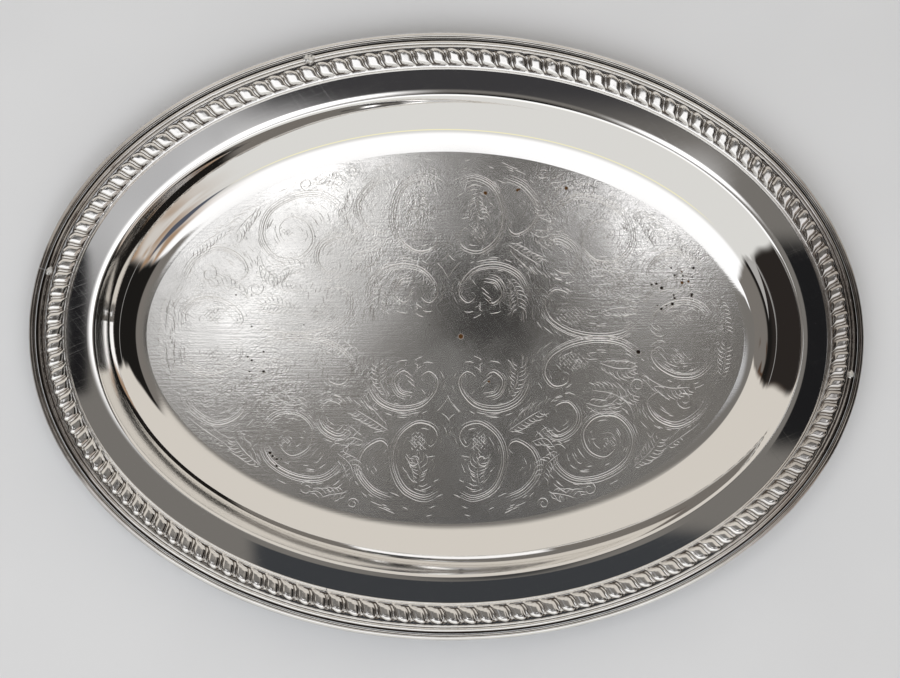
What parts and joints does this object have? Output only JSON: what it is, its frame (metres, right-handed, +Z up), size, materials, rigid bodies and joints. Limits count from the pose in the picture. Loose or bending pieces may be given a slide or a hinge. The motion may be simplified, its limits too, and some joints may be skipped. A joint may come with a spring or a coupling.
{
  "type": "oval serving tray",
  "caption": "Oval silver-plated serving tray with a deep engraved well, a flat rim and an applied gadroon border.",
  "frame": {"origin": "centre of the underside of the well, where the tray rests", "axes": "+X along the oval's long axis, +Y along its short axis, +Z up out of the well"},
  "size_m": [0.4598, 0.3335, 0.0242],
  "materials": {
    "silver_plate": "polished silver plate, finely brushed and hazy in the well",
    "stamped_silver": "bright stamped silver, tarnished in the grooves",
    "edge_silver": "polished silver",
    "lead_tin": "dull grey cast solder",
    "seam_solder": "pale matt soft solder"
  },
  "bodies": {
    "root": {"tray_body": "silver_plate", "gadroon_mount_1": "stamped_silver", "gadroon_mount_2": "stamped_silver", "gadroon_mount_3": "stamped_silver", "gadroon_mount_4": "stamped_silver", "mount_filler_1": "lead_tin", "mount_filler_2": "lead_tin", "mount_filler_3": "lead_tin", "mount_filler_4": "lead_tin", "reeded_strip_1": "edge_silver", "reeded_strip_2": "edge_silver", "reeded_strip_3": "edge_silver", "edge_wire_1": "edge_silver", "edge_wire_2": "edge_silver", "seam_solder_1": "seam_solder", "seam_solder_2": "seam_solder", "seam_solder_3": "seam_solder"}
  },
  "joints": []
}
